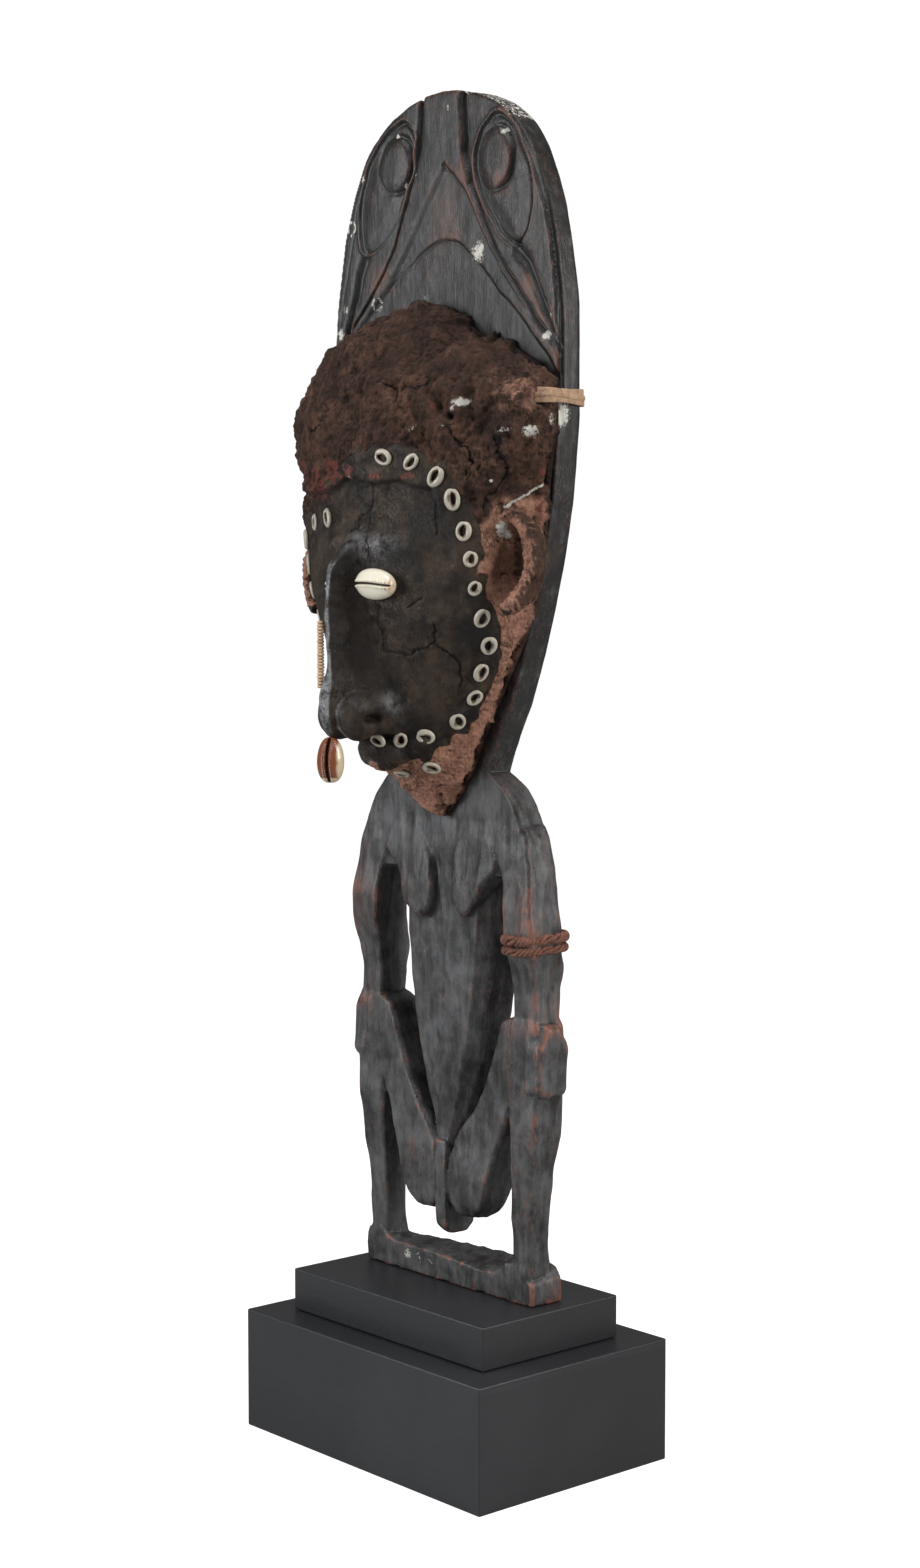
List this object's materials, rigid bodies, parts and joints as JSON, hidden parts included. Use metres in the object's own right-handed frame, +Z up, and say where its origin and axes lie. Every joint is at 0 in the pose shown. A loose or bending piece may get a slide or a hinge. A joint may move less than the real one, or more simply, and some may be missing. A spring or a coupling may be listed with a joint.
{
  "type": "sepik figure with a modelled head on a plinth",
  "caption": "Seated openwork wooden figure with a tall rounded head board, a modelled paste head edged with cut shells, and a two-step black plinth.",
  "frame": {"origin": "centre of the underside of the plinth's lower block", "axes": "+Z up; the figure faces -Y; +X is the figure's left"},
  "size_m": [0.201, 0.1624, 0.748],
  "materials": {
    "plinth_paint": "satin black paint on wood",
    "dark_wood": "dark, worn and handled, with warm brown where edges are rubbed",
    "modelled_paste": "dry, cracked, matt brown paste with a darker face",
    "ring_shell": "worn satin shell",
    "cream_cowrie": "glossy cream shell",
    "brown_cowrie": "glossy brown shell",
    "disc_beads": "dull shell beads",
    "split_cane": "dry pale cane",
    "plaited_fibre": "dry reddish fibre"
  },
  "bodies": {
    "root": {"plinth_lower_block": "plinth_paint", "plinth_upper_block": "plinth_paint", "carved_figure": "dark_wood", "modelled_head": "modelled_paste", "border_shell_left_01": "ring_shell", "border_shell_left_02": "ring_shell", "border_shell_left_03": "ring_shell", "border_shell_left_04": "ring_shell", "border_shell_left_05": "ring_shell", "border_shell_left_06": "ring_shell", "border_shell_left_07": "ring_shell", "border_shell_left_08": "ring_shell", "border_shell_left_09": "ring_shell", "border_shell_left_10": "ring_shell", "border_shell_left_11": "ring_shell", "border_shell_left_12": "ring_shell", "border_shell_left_13": "ring_shell", "border_shell_left_14": "ring_shell", "border_shell_left_15": "ring_shell", "border_shell_left_16": "ring_shell", "border_shell_left_17": "ring_shell", "border_shell_right_01": "ring_shell", "border_shell_right_02": "ring_shell", "border_shell_right_03": "ring_shell", "border_shell_right_04": "ring_shell", "border_shell_right_05": "ring_shell", "border_shell_right_06": "ring_shell", "border_shell_right_07": "ring_shell", "border_shell_right_08": "ring_shell", "border_shell_right_09": "ring_shell", "border_shell_right_10": "ring_shell", "border_shell_right_11": "ring_shell", "eye_cowrie_left": "cream_cowrie", "eye_cowrie_right": "cream_cowrie", "nose_pendant_cowrie": "brown_cowrie", "nose_bead_strand": "disc_beads", "cane_tie": "split_cane", "plaited_armband": "plaited_fibre"}
  },
  "joints": []
}
